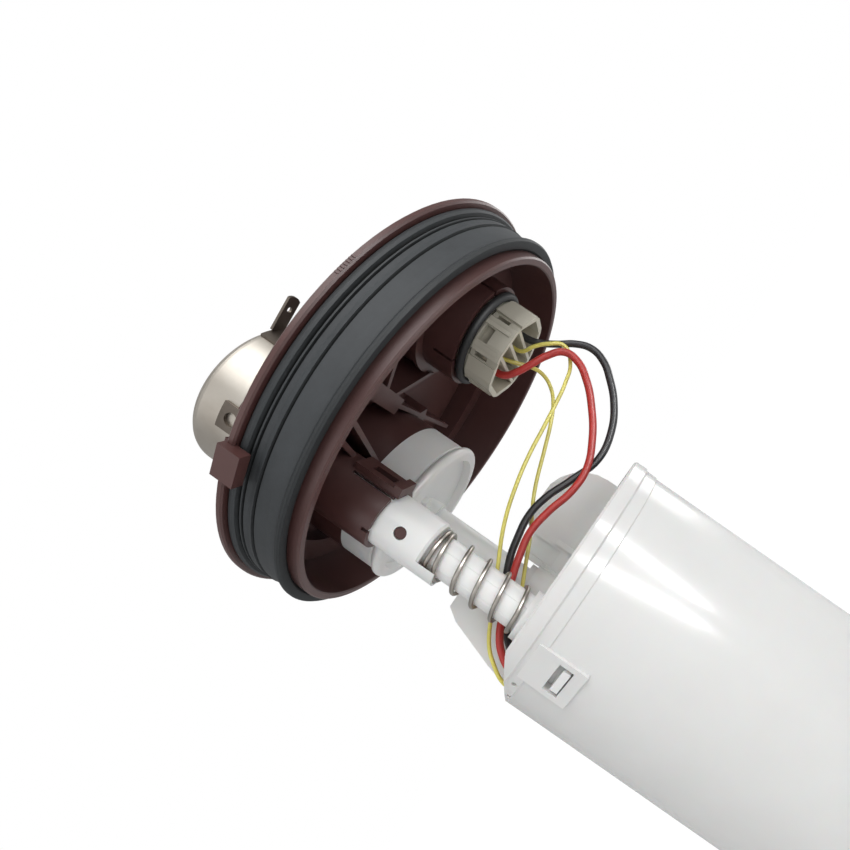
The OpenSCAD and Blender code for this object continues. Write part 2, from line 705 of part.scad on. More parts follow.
module ceiling_ribs() {
    intersection() {
        union() {
            block([-2.8, -skirt_r, rib_low], [2.5, -12.5, ceiling_z + eps]);
            translate([0, -14, 0]) rotate(85) block([0, -rib_t / 2, rib_low], [47, rib_t / 2, ceiling_z + eps]);
            translate([1.4, -19.5, 0]) rotate(44) block([0, -rib_t / 2, rib_low], [30, rib_t / 2, ceiling_z + eps]);
            translate([2, -25, 0]) rotate(-34) block([0, -rib_t / 2, rib_low], [18, rib_t / 2, ceiling_z + eps]);
            translate([1.3, 5.7, 0]) rotate(45) block([-2.4, -2.4, rib_low], [2.4, 2.4, ceiling_z + eps]);
            translate([cap_x, cap_y, 0]) rotate(-73.5)
                block([cap_body_r - 0.8, -rib_t / 2, neck_low + 0.6], [skirt_r + 10, rib_t / 2, ceiling_z + eps]);
            translate([col_x + socket_r - 0.6, col_y - 3, 0]) rotate(-77)
                block([0, -rib_t / 2, neck_low + 0.6], [skirt_r, rib_t / 2, ceiling_z + eps]);
        }
        union() {
            rod(skirt_r - 1, 0, disc_z + 0.5);
            rod(dome_r - 1, disc_z, ceiling_z + eps);
        }
    }
}

module cover_flange() {
    color([0.29, 0.17, 0.16]) on_flange() difference() {
        union() {
            flange_shell();
            ceiling_ribs();
            rotate(lug_angle) block([skirt_r + gasket_t + 1.6, -4, disc_z - 3.7], [disc_r + 1.7, 4, disc_z + disc_t + 0.2]);
            translate([cap_x, cap_y, 0]) can_holder();
        }
        translate([cap_x, cap_y, 0]) {
            rod(neck_in, 0, can_low);
            rod(holder_in, can_low - 0.5, collar_top + 1);
            rotate(notch_angle) block([holder_in - 2, -4.6, collar_top - 5], [holder_r + 3, 4.6, collar_top + 1]);
        }
        translate([col_x, col_y, 0]) rod(socket_r, 0, ceiling_z);
        translate([turret_x, turret_y, 0]) {
            rod(turret_r + 2.2, 0, ceiling_z);
            rod(turret_r + 2.9, collar_z, collar_z + 1.4);
            for (x = contact_x) translate([x, 0, 0]) block([-1.5, -0.5, 0], [1.5, 0.5, dome_top + 2]);
        }
    }
}

// Socket under the ceiling that grips the column's head, with its inner core and slotted tongue
module column_socket() {
    tongue_slots = [-50, 6];
    color([0.29, 0.17, 0.16]) on_column() {
        difference() {
            socket_tube();
            for (a = tongue_slots) rotate(a) block([head_r - 1, -0.4, socket_low - 2], [socket_r + 3, 0.4, 3.2]);
            rotate(-22) block([head_r - 1, -1.2, -6], [socket_r + 3, 1.2, 0.5]);
            rotate(-118) block([head_r - 1, -0.5, socket_low - 2], [socket_r + 3, 0.5, socket_low + 1.8]);
        }
        socket_core();
        rod(socket_r, ceiling_z - 1.5, ceiling_z);
    }
}

// Turret under the ceiling that holds the connector insert
module connector_turret() {
    color([0.29, 0.17, 0.16]) on_turret() difference() {
        turret();
        for (a = turret_slits) rotate(a)
            block([turret_r - 4, -0.45, turret_low - 1], [turret_r + 0.5, 0.45, turret_low + 6.5]);
    }
}

// Rubber gasket: upper bead, twin grooves, concave band, thin groove, wide band and lip
module flange_gasket() {
    r0 = skirt_r + 0.05;
    r = skirt_r + gasket_t;
    z0 = gasket_z;
    z1 = disc_z - 0.05;
    color([0.2, 0.21, 0.22]) on_flange() rotate_extrude() polygon([[r0, z0 + 0.4], [r0 + 0.6, z0], [r + 0.5, z0],
        [r + 0.9, z0 + 0.5], [r + 0.9, z0 + 1], [r + 0.4, z0 + 1.6], [r, z0 + 1.8], [r - 0.1, z0 + 4.5], [r, z1 - 6.4],
        [r - 0.5, z1 - 6.3], [r - 0.5, z1 - 6], [r + 0.3, z1 - 5.8], [r - 0.05, z1 - 4.6], [r + 0.1, z1 - 3.4],
        [r - 0.5, z1 - 3.3], [r - 0.5, z1 - 2.9], [r + 0.2, z1 - 2.8], [r + 0.2, z1 - 2.4], [r - 0.6, z1 - 2.3],
        [r - 0.6, z1 - 1.9], [r + 0.9, z1 - 1.7], [r + 1.3, z1 - 1.2], [r + 1.3, z1 - 0.4], [r + 0.9, z1], [r0, z1]]);
}

// Ivory connector insert: round base in the turret and an open, flat-sided body with ribs and windows
module turret_insert() {
    body_top = 2.3;
    base_r = turret_r - turret_wall - 0.3;
    windows = [-97, 152];
    grooves = [-125, -69];
    color([0.84, 0.81, 0.72]) on_turret() difference() {
        union() {
            rod(base_r, 6.2, dome_top - 4.8);
            rod(insert_r - 0.8, body_top - 1, 6.3);
            intersection() {
                rod(insert_r, -insert_drop, body_top);
                rotate(22.5) translate([0, 0, -insert_drop]) cylinder(r = insert_r * 1.045, h = insert_drop + body_top, $fn = 8);
            }
            for (a = [-112, -83, -14, 14, 166, 194, 76, 104]) rotate(a)
                block([insert_r - 2.5, -0.55, -insert_drop + 1], [insert_r + 0.15, 0.55, body_top]);
        }
        difference() {
            rotate(22.5) translate([0, 0, -insert_drop - 1]) cylinder(r = insert_r - 1.1, h = insert_drop, $fn = 8);
            for (x = [-4.4, 0, 4.4]) block([x - 0.5, -20, -insert_drop - 1], [x + 0.5, 20, 0]);
        }
        for (a = windows) rotate(a) block([insert_r - 2.6, -2.3, -1.2], [insert_r + 2, 2.3, body_top - 0.6]);
        for (a = grooves) rotate(a) {
            block([insert_r - 0.9, -1.1, -insert_drop - 1], [insert_r + 2, 1.1, body_top]);
            block([insert_r - 2.6, -0.6, -3], [insert_r, 0.6, 1]);
        }
        for (x = contact_x) block([x - 1.45, -0.45, -3], [x + 1.45, 0.45, dome_top]);
    }
}

module turret_seal() {
    color([0.08, 0.08, 0.08]) on_turret() o_ring(insert_r + 0.45, 1.2, 3.7);
}

module contact_pins() {
    color([0.85, 0.8, 0.6]) on_turret() for (x = contact_x)
        block([x - 1.4, -0.4, -2.6], [x + 1.4, 0.4, dome_top + 9]);
}

// Spring column: hollow head on the flange's core, shoulder with a lobe, rod and retaining collar
rod_low = -(skirt_z - sleeve_low) - 5;

module spring_column() {
    bore = core_r + 0.35;
    color([0.95, 0.95, 0.94]) on_column() difference() {
        union() {
            rotate_extrude() polygon([[0, rod_low], [rod_r - 0.6, rod_low], [rod_r, rod_low + 0.6],
                [rod_r, -shoulder_z], [head_r - 0.6, -shoulder_z], [head_r, -shoulder_z + 0.6], [head_r, ceiling_z - 10],
                [0, ceiling_z - 10]]);
            rod(rod_r + 1.1, rod_low + 0.6, rod_low + 4.7);
            intersection() {
                ring(head_r, spring_r + soft_gap, -shoulder_z - 5, -shoulder_z + 1);
                rotate(190) block([4.6, -head_r, -shoulder_z - 6], [head_r + 2, head_r, 0]);
            }
        }
        rod(bore, peg_z - 4, ceiling_z);
        rotate(-90) translate([0, 0, peg_z]) rotate([0, 90, 0]) rod(peg_r + 0.15, 0, head_r + 1);
        for (s = [-1, 1]) block([s * 2.6 - 0.5, -rod_r - 1, rod_low + 12], [s * 2.6 + 0.5, -rod_r + 0.6, -shoulder_z - 2]);
    }
}

// Compression spring between the column's shoulder and the carrier's seat, with closed ends
spring_top = skirt_z - shoulder_z - 0.1;
spring_low = seat_z + 0.1;
spring_low_turns = 0.5;
spring_top_turns = 1.3;

function spring_rise(t) =
    let (close = spring_d * 1.05, free = spring_top - spring_low - spring_d,
        open = free - (spring_low_turns + spring_top_turns) * close)
    t < spring_low_turns ? t * close :
    t < spring_low_turns + spring_turns ? spring_low_turns * close + open * (t - spring_low_turns) / spring_turns :
    open + (t - spring_turns) * close;

module column_spring() {
    steps = 14;
    turns = spring_turns + spring_low_turns + spring_top_turns;
    mean = spring_r - spring_d / 2;
    path = [for (k = [0:turns * steps]) let (a = 360 * k / steps + 90)
        [mean * cos(a), mean * sin(a), spring_low + spring_d / 2 + spring_rise(k / steps)]];
    color([0.6, 0.58, 0.55]) translate([flange_x + col_x, flange_y + col_y, 0])
        swept_tube(path, spring_d / 2, 6);
}

// Delivery tube on the cap's spigot, and its seal in the carrier's sleeve
tube_low = duct_z + duct_bore + 0.5 + travel;

module delivery_tube() {
    low = tube_low - skirt_z;
    color([0.92, 0.92, 0.91]) on_tube() difference() {
        rotate_extrude() polygon([[tube_bore, low], [tube_r - 0.6, low], [tube_r, low + 0.6],
            [tube_r, -cap_drop + 2.4], [tube_bore, -cap_drop + 2.4]]);
        ring(tube_r + 1, tube_r - 1, low + 1.4, low + 2.8);
    }
}

module delivery_seal() {
    color([0.1, 0.1, 0.1]) on_tube() o_ring(tube_r - 0.45, 0.5, tube_low - skirt_z + 2.1);
}

// White filter cap: plug into the can, round bead and recessed face with a web and the tube's spigot
module filter_cap() {
    face = -cap_drop;
    recess = 2.4;
    bead_r = 1.6;
    web_angle = 116;
    bead = [for (a = [-90:15:90]) [cap_r - bead_r + bead_r * cos(a), face + bead_r + bead_r * sin(a)]];
    color([0.94, 0.94, 0.92]) on_can() difference() {
        union() {
            rotate_extrude() polygon(concat([[0, face + recess], [cap_r - 4.2, face + recess], [cap_r - 3.6, face]], bead,
                [[cap_body_r, face + 2 * bead_r + 0.6], [cap_body_r, neck_low - 0.1], [plug_r, neck_low - 0.1],
                [plug_r, cap_high], [plug_r - cap_wall, cap_high], [plug_r - cap_wall, neck_low - 2],
                [cap_body_r - cap_wall, neck_low - 5], [cap_body_r - cap_wall, face + recess + 2],
                [0, face + recess + 2]]));
            rotate(web_angle) block([0, -1.1, face + 0.6], [13, 1.1, face + recess + eps]);
            rotate(web_angle + 180) block([0, -1.1, face + 0.6], [9, 1.1, face + recess + eps]);
            translate([tube_x - cap_x, tube_y - cap_y, 0]) difference() {
                rod(tube_r + 0.9, face - 2.4, face + recess + eps);
                rod(tube_r + 0.05, face - 3, face + recess);
            }
            translate([tube_x - cap_x, tube_y - cap_y, 0]) rod(tube_bore - 0.1, face - 6, face + recess + 1);
        }
        translate([tube_x - cap_x, tube_y - cap_y, 0]) {
            rod(1.8, face - 7, face + recess + 3);
            difference() {
                rod(tube_r + 0.05, face - 3, face + recess - eps);
                rod(tube_bore - 0.1, face - 7, face + recess + 1);
            }
        }
        ring(plug_r + 1, plug_r - 1.1, cap_high - 8.4, cap_high - 6.4);
    }
}

module cap_seal() {
    color([0.1, 0.1, 0.1]) on_can() o_ring(plug_r - 0.1, 0.75, cap_high - 7.4);
}

module pressure_regulator() {
    face = -cap_drop + 4.4;
    color([0.8, 0.8, 0.82]) on_can() translate([6, 4, 0]) difference() {
        rotate_extrude() polygon([[0, face + 0.1], [8, face + 0.1], [8, face + 7], [11, face + 7], [11, face + 9.5],
            [7, face + 9.5], [6, face + 15], [0, face + 15]]);
        rod(1.5, face + 10, face + 16);
    }
}

// Filter element: pleated ring between two end discs
module filter_element() {
    pleats = 36;
    z0 = cap_high + 0.3;
    z1 = can_top - can_t - 3.2;
    outer = can_r - can_t - 1.4;
    color([0.85, 0.8, 0.6]) on_can() difference() {
        union() {
            translate([0, 0, z0]) linear_extrude(z1 - z0)
                polygon([for (k = [0:2 * pleats - 1]) let (a = 180 * k / pleats, r = k % 2 == 0 ? outer - 0.4 : outer - 6)
                    [r * cos(a), r * sin(a)]]);
            rod(outer, z0, z0 + 1.2);
            rod(outer, z1 - 1.2, z1);
        }
        rod(9, z0 - 1, z1 - 1.2);
    }
}

// Steel filter can with a rounded crown, its blade terminal and the retaining clip
crown_r = 3;

module filter_can() {
    inner_r = can_r - can_t;
    outer_arc = [for (a = [0:15:90]) [can_r - crown_r + crown_r * cos(a), can_top - crown_r + crown_r * sin(a)]];
    inner_arc = [for (a = [90:-15:0]) [can_r - crown_r + (crown_r - can_t) * cos(a),
        can_top - crown_r + (crown_r - can_t) * sin(a)]];
    color([0.75, 0.73, 0.7]) on_can() rotate_extrude()
        polygon(concat([[can_r, can_low]], outer_arc, [[0, can_top], [0, can_top - can_t]], inner_arc,
            [[inner_r, can_low]]));
}

blade_angle = -36;
blade_turn = -9;
blade_z = can_top - crown_r;
blade_t = 0.8;
blade_w = 4.8;
blade_len = 10.5;

module earth_terminal() {
    color([0.45, 0.43, 0.38]) on_can() {
        rotate(blade_angle) difference() {
            intersection() {
                ring(can_r + 0.85, can_r + 0.05, blade_z - 5, blade_z + blade_t);
                block([0, -5, blade_z - 6], [can_r + 3, 5, blade_z + 2]);
            }
        }
        translate([can_r * cos(blade_angle), can_r * sin(blade_angle), blade_z]) rotate(blade_turn) difference() {
            union() {
                block([0.4, -blade_w / 2, 0], [blade_len, blade_w / 2, blade_t]);
                intersection() {
                    block([blade_len - eps, -blade_w / 2, 0], [blade_len + 1.6, blade_w / 2, blade_t]);
                    translate([blade_len - 2.2, 0, -1]) cylinder(r = 3.8, h = 3);
                }
            }
            translate([blade_len - 2.6, 0, -1]) cylinder(r = 0.9, h = 3);
            rotate(-blade_turn) translate([-can_r * cos(blade_angle), -can_r * sin(blade_angle), -1]) cylinder(r = can_r + 0.1, h = 3);
        }
    }
}

module can_clip() {
    color([0.33, 0.3, 0.28]) on_can() rotate(notch_angle) difference() {
        intersection() {
            ring(can_r + 1.1, can_r + 0.05, collar_top - 4.6, collar_top + 5.2);
            block([0, -4, 0], [can_r + 3, 4, can_top]);
        }
        translate([0, 0, collar_top + 1.4]) rotate([0, 90, 0]) rod(2, can_r - 1, can_r + 3);
    }
}

// Wires
module wire_red() {
    color([0.75, 0.18, 0.16]) swept_tube(red_route, thick_wire_d / 2, 8);
}

module wire_black() {
    color([0.1, 0.1, 0.1]) swept_tube(black_route, thick_wire_d / 2, 8);
}

module wire_yellow_a() {
    color([0.87, 0.8, 0.25]) swept_tube(yellow_a_route, thin_wire_d / 2, 8);
}

module wire_yellow_b() {
    color([0.87, 0.8, 0.25]) swept_tube(yellow_b_route, thin_wire_d / 2, 8);
}

reservoir_pot();
pump_carrier();
inlet_strainer();
inlet_valve();
jet_nozzle();
pump_isolator();
pump_shell();
pump_inlet_cover();
pump_outlet_cap();
pump_magnets();
pump_brushes();
pump_plug();
pump_shaft();
pump_armature();
pump_commutator();
pump_impeller();
outlet_grommet();
sender_body();
sender_card();
sender_wiper();
float_arm();
float();
cover_flange();
column_socket();
connector_turret();
plug_shroud();
outlet_nipple();
flange_gasket();
turret_insert();
turret_seal();
contact_pins();
spring_column();
column_spring();
delivery_tube();
delivery_seal();
filter_cap();
cap_seal();
pressure_regulator();
filter_element();
filter_can();
earth_terminal();
can_clip();
wire_red();
wire_black();
wire_yellow_a();
wire_yellow_b();
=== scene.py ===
"""Looks of an in-tank fuel pump module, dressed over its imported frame.

Each sub-assembly is a class that owns its sizes, builds the pieces that the
frame leaves plain and gives every node its finish. Lengths are in metres in
the row frame: +Z runs up the column, the photographed side faces -Y.
"""

import logging
import math
from dataclasses import dataclass, field
from enum import Enum

import bpy
from mathutils import Matrix, Vector


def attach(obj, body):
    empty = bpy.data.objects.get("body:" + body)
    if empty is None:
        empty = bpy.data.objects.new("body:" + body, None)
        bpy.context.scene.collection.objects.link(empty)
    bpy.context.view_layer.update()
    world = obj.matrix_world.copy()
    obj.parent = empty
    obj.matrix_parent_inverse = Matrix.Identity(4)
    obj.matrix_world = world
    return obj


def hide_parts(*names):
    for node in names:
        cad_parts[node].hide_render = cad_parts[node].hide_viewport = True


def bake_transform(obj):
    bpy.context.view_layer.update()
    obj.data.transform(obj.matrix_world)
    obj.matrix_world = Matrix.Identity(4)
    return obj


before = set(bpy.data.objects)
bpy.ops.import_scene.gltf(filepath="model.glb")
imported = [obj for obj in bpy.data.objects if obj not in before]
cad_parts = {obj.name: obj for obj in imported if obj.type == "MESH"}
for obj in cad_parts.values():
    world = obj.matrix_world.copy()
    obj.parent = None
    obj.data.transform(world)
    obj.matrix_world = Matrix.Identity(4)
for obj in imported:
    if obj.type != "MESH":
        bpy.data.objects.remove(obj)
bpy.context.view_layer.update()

logging.basicConfig(level=logging.INFO, format="%(levelname)s %(message)s")
log = logging.getLogger("fuel_pump")

MM = 0.001
FLANGE_AXIS = (0.0133, 0.0039)
SKIRT_Z = 0.170
SMOOTH_ANGLE = math.radians(50)

Colour = tuple[float, float, float]
Point = tuple[float, float, float]


class Texture(Enum):
    """How a moulded or drawn surface breaks up its highlights."""

    SMOOTH = "smooth"
    GRAINED = "grained"
    STREAKED = "streaked"


class Grid:
    """Small wrapper round a material's nodes, so finishes read as recipes."""

    def __init__(self, name: str) -> None:
        """Starts an empty node material.

        Args:
            name: name of the material.
        """
        self.material = bpy.data.materials.new(name)
        self.material.use_nodes = True
        self.tree = self.material.node_tree
        self.tree.nodes.clear()
        self.shader = self.tree.nodes.new("ShaderNodeBsdfPrincipled")
        output = self.tree.nodes.new("ShaderNodeOutputMaterial")
        self.tree.links.new(self.shader.outputs["BSDF"], output.inputs["Surface"])
        self.place = self.tree.nodes.new("ShaderNodeTexCoord").outputs["Object"]

    def link(self, source, target) -> None:
        """Joins an output socket to an input socket."""
        self.tree.links.new(source, target)

    def stretched(self, scale: Point):
        """Gives the object coordinates scaled by axis.

        Args:
            scale: factor along X, Y and Z.

        Returns:
            The scaled coordinates' output socket.
        """
        node = self.tree.nodes.new("ShaderNodeMapping")
        node.inputs["Scale"].default_value = scale
        self.link(self.place, node.inputs["Vector"])
        return node.outputs["Vector"]

    def noise(self, scale: float, detail: float = 4.0, rough: float = 0.55, place=None):
        """Adds a noise texture.

        Args:
            scale: cells per metre.
            detail: octaves.
            rough: weight of the finer octaves.
            place: coordinates to read, the object's own when left out.

        Returns:
            The noise factor's output socket.
        """
        node = self.tree.nodes.new("ShaderNodeTexNoise")
        node.inputs["Scale"].default_value = scale
        node.inputs["Detail"].default_value = detail
        node.inputs["Roughness"].default_value = rough
        self.link(place or self.place, node.inputs["Vector"])
        return node.outputs["Fac"]

    def cells(self, scale: float):
        """Adds a cell texture and gives the distance to the nearest point.

        Args:
            scale: cells per metre.

        Returns:
            The distance's output socket.
        """
        node = self.tree.nodes.new("ShaderNodeTexVoronoi")
        node.inputs["Scale"].default_value = scale
        self.link(self.place, node.inputs["Vector"])
        return node.outputs["Distance"]

    def ramp(self, source, low: float, high: float, start: Colour, end: Colour):
        """Spreads a factor over two colours.

        Args:
            source: factor to read.
            low: factor at which the first colour ends.
            high: factor at which the second colour begins.
            start: first colour.
            end: second colour.

        Returns:
            The colour's output socket.
        """
        node = self.tree.nodes.new("ShaderNodeValToRGB")
        first, last = node.color_ramp.elements
        first.position, last.position = low, high
        first.color, last.color = (*start, 1.0), (*end, 1.0)
        self.link(source, node.inputs["Fac"])
        return node.outputs["Color"]

    def blend(self, factor, under, over):
        """Mixes two colours by a factor.

        Args:
            factor: share of the second colour.
            under: first colour, a socket or three numbers.
            over: second colour, a socket or three numbers.

        Returns:
            The mixed colour's output socket.
        """
        node = self.tree.nodes.new("ShaderNodeMix")
        node.data_type = "RGBA"
        sockets = [s for s in node.inputs if s.type == "RGBA"]
        for socket, value in zip(sockets, (under, over)):
            if isinstance(value, tuple):
                socket.default_value = (*value, 1.0)
            else:
                self.link(value, socket)
        self.link(factor, node.inputs["Factor"])
        return next(s for s in node.outputs if s.type == "RGBA")

    def sum(self, first, second, operation: str = "ADD"):
        """Joins two values by a math operation.

        Args:
            first: first value, a socket or a number.
            second: second value, a socket or a number.
            operation: name of the operation.

        Returns:
            The result's output socket.
        """
        node = self.tree.nodes.new("ShaderNodeMath")
        node.operation = operation
        for socket, value in zip(node.inputs, (first, second)):
            if isinstance(value, (int, float)):
                socket.default_value = value
            else:
                self.link(value, socket)
        return node.outputs["Value"]

    def axis(self, source, name: str):
        """Takes one coordinate of a vector.

        Args:
            source: vector's output socket.
            name: X, Y or Z.

        Returns:
            That coordinate's output socket.
        """
        node = self.tree.nodes.new("ShaderNodeSeparateXYZ")
        self.link(source, node.inputs["Vector"])
        return node.outputs[name]

    def occlusion(self, reach: float):
        """Adds ambient occlusion, used to paint shade into corners.

        Args:
            reach: distance in metres at which a neighbour counts.

        Returns:
            The open share's output socket.
        """
        node = self.tree.nodes.new("ShaderNodeAmbientOcclusion")
        node.samples = 6
        node.inputs["Distance"].default_value = reach
        return node.outputs["AO"]

    def roughness(self, source, low: float, high: float) -> None:
        """Drives the roughness by a factor.

        Args:
            source: factor to read.
            low: roughness at 0.
            high: roughness at 1.
        """
        node = self.tree.nodes.new("ShaderNodeMapRange")
        node.inputs["To Min"].default_value = low
        node.inputs["To Max"].default_value = high
        self.link(source, node.inputs["Value"])
        self.link(node.outputs["Result"], self.shader.inputs["Roughness"])

    def bump(self, source, height: float, strength: float = 1.0) -> None:
        """Raises the surface by a factor.

        Args:
            source: height factor.
            height: height in metres at a factor of 1.
            strength: weight of the bump.
        """
        node = self.tree.nodes.new("ShaderNodeBump")
        node.inputs["Strength"].default_value = strength
        node.inputs["Distance"].default_value = height
        self.link(source, node.inputs["Height"])
        self.link(node.outputs["Normal"], self.shader.inputs["Normal"])

    def colour(self, source) -> None:
        """Sets the base colour from a socket or three numbers."""
        if isinstance(source, tuple):
            self.shader.inputs["Base Color"].default_value = (*source, 1.0)
        else:
            self.link(source, self.shader.inputs["Base Color"])

    def set(self, **values: float) -> None:
        """Sets uniform values straight on the shader's sockets."""
        for name, value in values.items():
            self.shader.inputs[name.replace("_", " ")].default_value = value


@dataclass(frozen=True)
class MouldedPlastic:
    """Injection-moulded plastic with a faint cloud, painted shade in its corners and a chosen texture."""

    name: str
    colour: Colour
    shade: Colour
    roughness: float = 0.38
    texture: Texture = Texture.SMOOTH
    # Weight of the shade painted into corners by ambient occlusion.
    corner_shade: float = 0.25
    translucency: float = 0.0

    def build(self) -> bpy.types.Material:
        """Builds the material.

        Returns:
            The finished material.
        """
        grid = Grid(self.name)
        cloud = grid.noise(55.0, 3.0)
        base = grid.ramp(cloud, 0.3, 0.7, self.colour, tuple(0.97 * c for c in self.colour))
        # Ambient occlusion paints shade into the corners, blending towards the shade colour by this weight.
        if self.corner_shade > 0:
            corners = grid.sum(grid.sum(1.0, grid.occlusion(0.004), "SUBTRACT"), self.corner_shade, "MULTIPLY")
            base = grid.blend(corners, base, self.shade)
        grid.colour(base)
        if self.texture is Texture.STREAKED:
            streak = grid.noise(190.0, 3.0, 0.6, grid.stretched((1.0, 1.0, 0.05)))
            grid.bump(streak, 0.00006, 0.35)
            grid.roughness(streak, self.roughness - 0.04, self.roughness + 0.06)
        elif self.texture is Texture.GRAINED:
            grain = grid.noise(1600.0, 3.0, 0.6)
            grid.bump(grain, 0.00003, 0.5)
            grid.roughness(grain, self.roughness - 0.05, self.roughness + 0.1)
        else:
            wave = grid.noise(120.0, 2.0)
            grid.bump(wave, 0.00008, 0.35)
            grid.roughness(wave, self.roughness - 0.04, self.roughness + 0.06)
        grid.set(IOR=1.49)
        if self.translucency > 0:
            grid.set(Subsurface_Weight=self.translucency, Subsurface_Scale=0.004)
        return grid.material


@dataclass(frozen=True)
class DustyRubber:
    """Matt rubber with a bloom of dust that scuffs leave uneven, and painted shade in its corners."""

    name: str
    colour: Colour
    dust: Colour
    roughness: float = 0.62
    amount: float = 0.55
    darker_below: float = 0.0

    def build(self) -> bpy.types.Material:
        """Builds the material.

        Returns:
            The finished material.
        """
        grid = Grid(self.name)
        bloom = grid.noise(70.0, 6.0, 0.62, grid.stretched((1.0, 1.0, 2.2)))
        fleck = grid.noise(520.0, 4.0, 0.7)
        cover = grid.sum(grid.sum(bloom, grid.sum(fleck, 0.35, "MULTIPLY")), self.amount, "MULTIPLY")
        # Below this height the dust cover falls to 15 per cent, so the lower lip comes out darker.
        if self.darker_below > 0:
            above_dark_band = grid.sum(grid.axis(grid.place, "Z"), self.darker_below, "GREATER_THAN")
            cover = grid.sum(cover, grid.sum(grid.sum(above_dark_band, 0.85, "MULTIPLY"), 0.15), "MULTIPLY")
        base = grid.blend(cover, self.colour, self.dust)
        # Ambient occlusion paints shade into the corners, down to a quarter of the base colour.
        corners = grid.sum(1.0, grid.occlusion(0.0025), "SUBTRACT")
        grid.colour(grid.blend(corners, base, tuple(0.25 * c for c in self.colour)))
        grid.roughness(bloom, self.roughness - 0.1, self.roughness + 0.16)
        grid.bump(grid.sum(fleck, bloom), 0.00007, 0.4)
        grid.set(IOR=1.45)
        return grid.material


@dataclass(frozen=True)
class DrawnMetal:
    """Sheet or wire metal with fine drawing lines and a warm or cold tone."""

    name: str
    colour: Colour
    tarnish: Colour
    roughness: float = 0.3
    lines: Point = (1.0, 1.0, 0.08)

    def build(self) -> bpy.types.Material:
        """Builds the material.

        Returns:
            The finished material.
        """
        grid = Grid(self.name)
        line = grid.noise(900.0, 3.0, 0.6, grid.stretched(self.lines))
        cloud = grid.noise(60.0, 4.0, 0.6)
        grid.colour(grid.ramp(cloud, 0.32, 0.72, self.colour, self.tarnish))
        grid.roughness(grid.sum(grid.sum(line, 0.6, "MULTIPLY"), grid.sum(cloud, 0.4, "MULTIPLY")),
                       self.roughness - 0.06, self.roughness + 0.16)
        grid.bump(line, 0.00002, 0.35)
        grid.set(Metallic=1.0)
        return grid.material


@dataclass(frozen=True)
class Insulation:
    """Extruded wire insulation: glossy, with faint drag lines and finger marks."""

    name: str
    colour: Colour
    roughness: float = 0.34

    def build(self) -> bpy.types.Material:
        """Builds the material.

        Returns:
            The finished material.
        """
        grid = Grid(self.name)
        mark = grid.noise(260.0, 4.0, 0.6)
        grid.colour(grid.ramp(mark, 0.35, 0.75, self.colour, tuple(0.82 * c for c in self.colour)))
        grid.roughness(mark, self.roughness - 0.06, self.roughness + 0.12)
        grid.bump(mark, 0.00004, 0.3)
        grid.set(IOR=1.5)
        return grid.material


@dataclass(frozen=True)
class Fibre:
    """Paper or woven mesh: a fine crossed weave with soft roughness."""

    name: str
    colour: Colour
    pitch: float = 0.0006

    def build(self) -> bpy.types.Material:
        """Builds the material.

        Returns:
            The finished material.
        """
        grid = Grid(self.name)
        weave = grid.cells(1.0 / self.pitch)
        grid.colour(grid.ramp(weave, 0.1, 0.6, self.colour, tuple(0.7 * c for c in self.colour)))
        grid.roughness(weave, 0.6, 0.85)
        grid.bump(weave, 0.0001, 0.6)
        return grid.material


def dress(node: str, finish) -> None:
    """Gives a CAD node its finish.

    Args:
        node: name of the node.
        finish: finish whose build method makes the material.
    """
    put(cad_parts[node], finish)


_made: dict[str, bpy.types.Material] = {}


def put(piece: bpy.types.Object, finish) -> None:
    """Gives any mesh a finish as its only material.

    Args:
        piece: mesh object.
        finish: finish whose build method makes the material.
    """
    if finish.name not in _made:
        _made[finish.name] = finish.build()
    slots = piece.data.materials
    if len(slots) == 0:
        slots.append(_made[finish.name])
    for i in range(len(slots)):
        slots[i] = _made[finish.name]


def nothing_selected() -> None:
    """Leaves edit mode and clears the selection, so an operator acts on one piece."""
    if bpy.context.object and bpy.context.object.mode != "OBJECT":
        bpy.ops.object.mode_set(mode="OBJECT")
    bpy.ops.object.select_all(action="DESELECT")


def settle(piece: bpy.types.Object, name: str) -> bpy.types.Object:
    """Applies a piece's place and names it.

    Args:
        piece: object to finish.
        name: its final name.

    Returns:
        The same object, at the origin.
    """
    nothing_selected()
    piece.select_set(True)
    bpy.context.view_layer.objects.active = piece
    bpy.ops.object.transform_apply(location=True, rotation=True, scale=True)
    piece.name = name
    piece.data.name = name
    return piece


def rounded_tube(name: str, points: list[Point], radius: float, sides: int = 12, smooth: int = 6) -> bpy.types.Object:
    """Models a wire as a smooth curve with a round section, made a mesh.

    Args:
        name: name of the piece.
        points: points that the wire passes, in metres.
        radius: radius of the wire.
        sides: sides of the section.
        smooth: rings between two points.

    Returns:
        The wire as a mesh at the origin.
    """
    nothing_selected()
    bpy.ops.curve.primitive_bezier_curve_add()
    curve = bpy.context.object
    spline = curve.data.splines[0]
    spline.bezier_points.add(len(points) - len(spline.bezier_points))
    for knot, point in zip(spline.bezier_points, points):
        knot.co = point
        knot.handle_left_type = knot.handle_right_type = "AUTO"
    curve.data.resolution_u = smooth
    curve.data.bevel_depth = radius
    curve.data.bevel_resolution = max(1, sides // 4 - 1)
    curve.data.use_fill_caps = True
    curve.location = (0, 0, 0)
    bpy.context.view_layer.update()
    bpy.ops.object.convert(target="MESH")
    piece = bpy.context.object
    bpy.ops.object.mode_set(mode="EDIT")
    bpy.ops.mesh.select_all(action="SELECT")
    bpy.ops.mesh.remove_doubles(threshold=1e-6)
    bpy.ops.mesh.normals_make_consistent(inside=False)
    bpy.ops.object.mode_set(mode="OBJECT")
    bpy.ops.object.shade_smooth_by_angle(angle=SMOOTH_ANGLE)
    return settle(piece, name)
